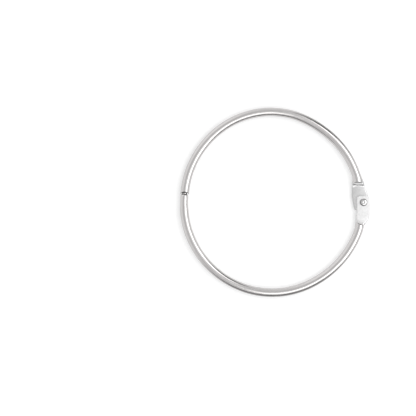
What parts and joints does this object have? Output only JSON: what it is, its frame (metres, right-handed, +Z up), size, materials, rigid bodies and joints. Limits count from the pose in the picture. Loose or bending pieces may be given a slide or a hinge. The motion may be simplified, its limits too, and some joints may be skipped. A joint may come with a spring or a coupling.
{
  "type": "binder ring",
  "caption": "Hinged loose-leaf ring of rolled, nickel-plated steel tube, lying closed: flattened ends riveted together on one side, a necked plug in an open socket on the other.",
  "frame": {"origin": "centre of the closed ring, on the plane that it rests on", "axes": "+Z is up, along the rivet; +X points from the ring's centre to the rivet; the socket half lies on the +Y side and the plug half on the -Y side"},
  "size_m": [0.0841, 0.0838, 0.0038],
  "materials": {
    "socket_half": "polished",
    "plug_half": "polished",
    "rivet": "polished"
  },
  "bodies": {
    "socket_side": {"socket_half": "socket_half", "hinge_rivet": "rivet"},
    "plug_side": {"plug_half": "plug_half"}
  },
  "joints": [
    {"name": "ring_hinge", "type": "hinge", "parent": "socket_side", "child": "plug_side", "pos_m": [0.0392, 0, 0.0019], "axis": [0, 0, 1], "range_deg": [0, 140]}
  ]
}
